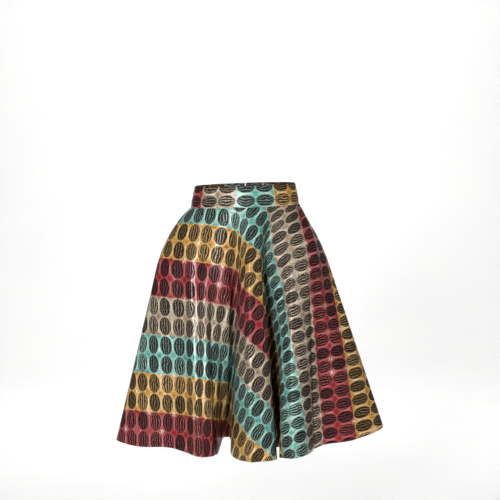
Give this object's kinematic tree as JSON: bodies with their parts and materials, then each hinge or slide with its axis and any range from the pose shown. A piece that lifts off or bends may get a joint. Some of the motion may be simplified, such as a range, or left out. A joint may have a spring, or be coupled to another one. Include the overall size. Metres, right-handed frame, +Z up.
{
  "type": "flared skirt",
  "caption": "Knee-length flared skirt, hollow as worn, with deep soft folds, a shaped waistband and a concealed zip at the centre back.",
  "frame": {"origin": "middle of the waistband: half way up it, on the axis of the waist, where the wearer holds the skirt up", "axes": "+Z up along the waist's axis, -Y out of the front, +X to the right of someone looking at the front"},
  "size_m": [0.6499, 0.484, 0.6518],
  "materials": {
    "striped_cloth": "woven cloth with a soft sheen, wide bands of teal, mustard, crimson and beige with rows of dark ovals",
    "band_cloth": "the same striped cloth, stiffened, with its bands running up the waistband",
    "zip_metal": "dark satin enamel"
  },
  "bodies": {
    "skirt": {"skirt_panel": "striped_cloth", "waistband": "band_cloth", "zip_slider": "zip_metal"},
    "zip_pull": {"zip_pull": "zip_metal"}
  },
  "joints": [
    {"name": "zip_pull_swing", "type": "hinge", "parent": "skirt", "child": "zip_pull", "pos_m": [0, 0.09233, 0.01448], "axis": [1, 0, 0], "range_deg": [0, 150]}
  ]
}
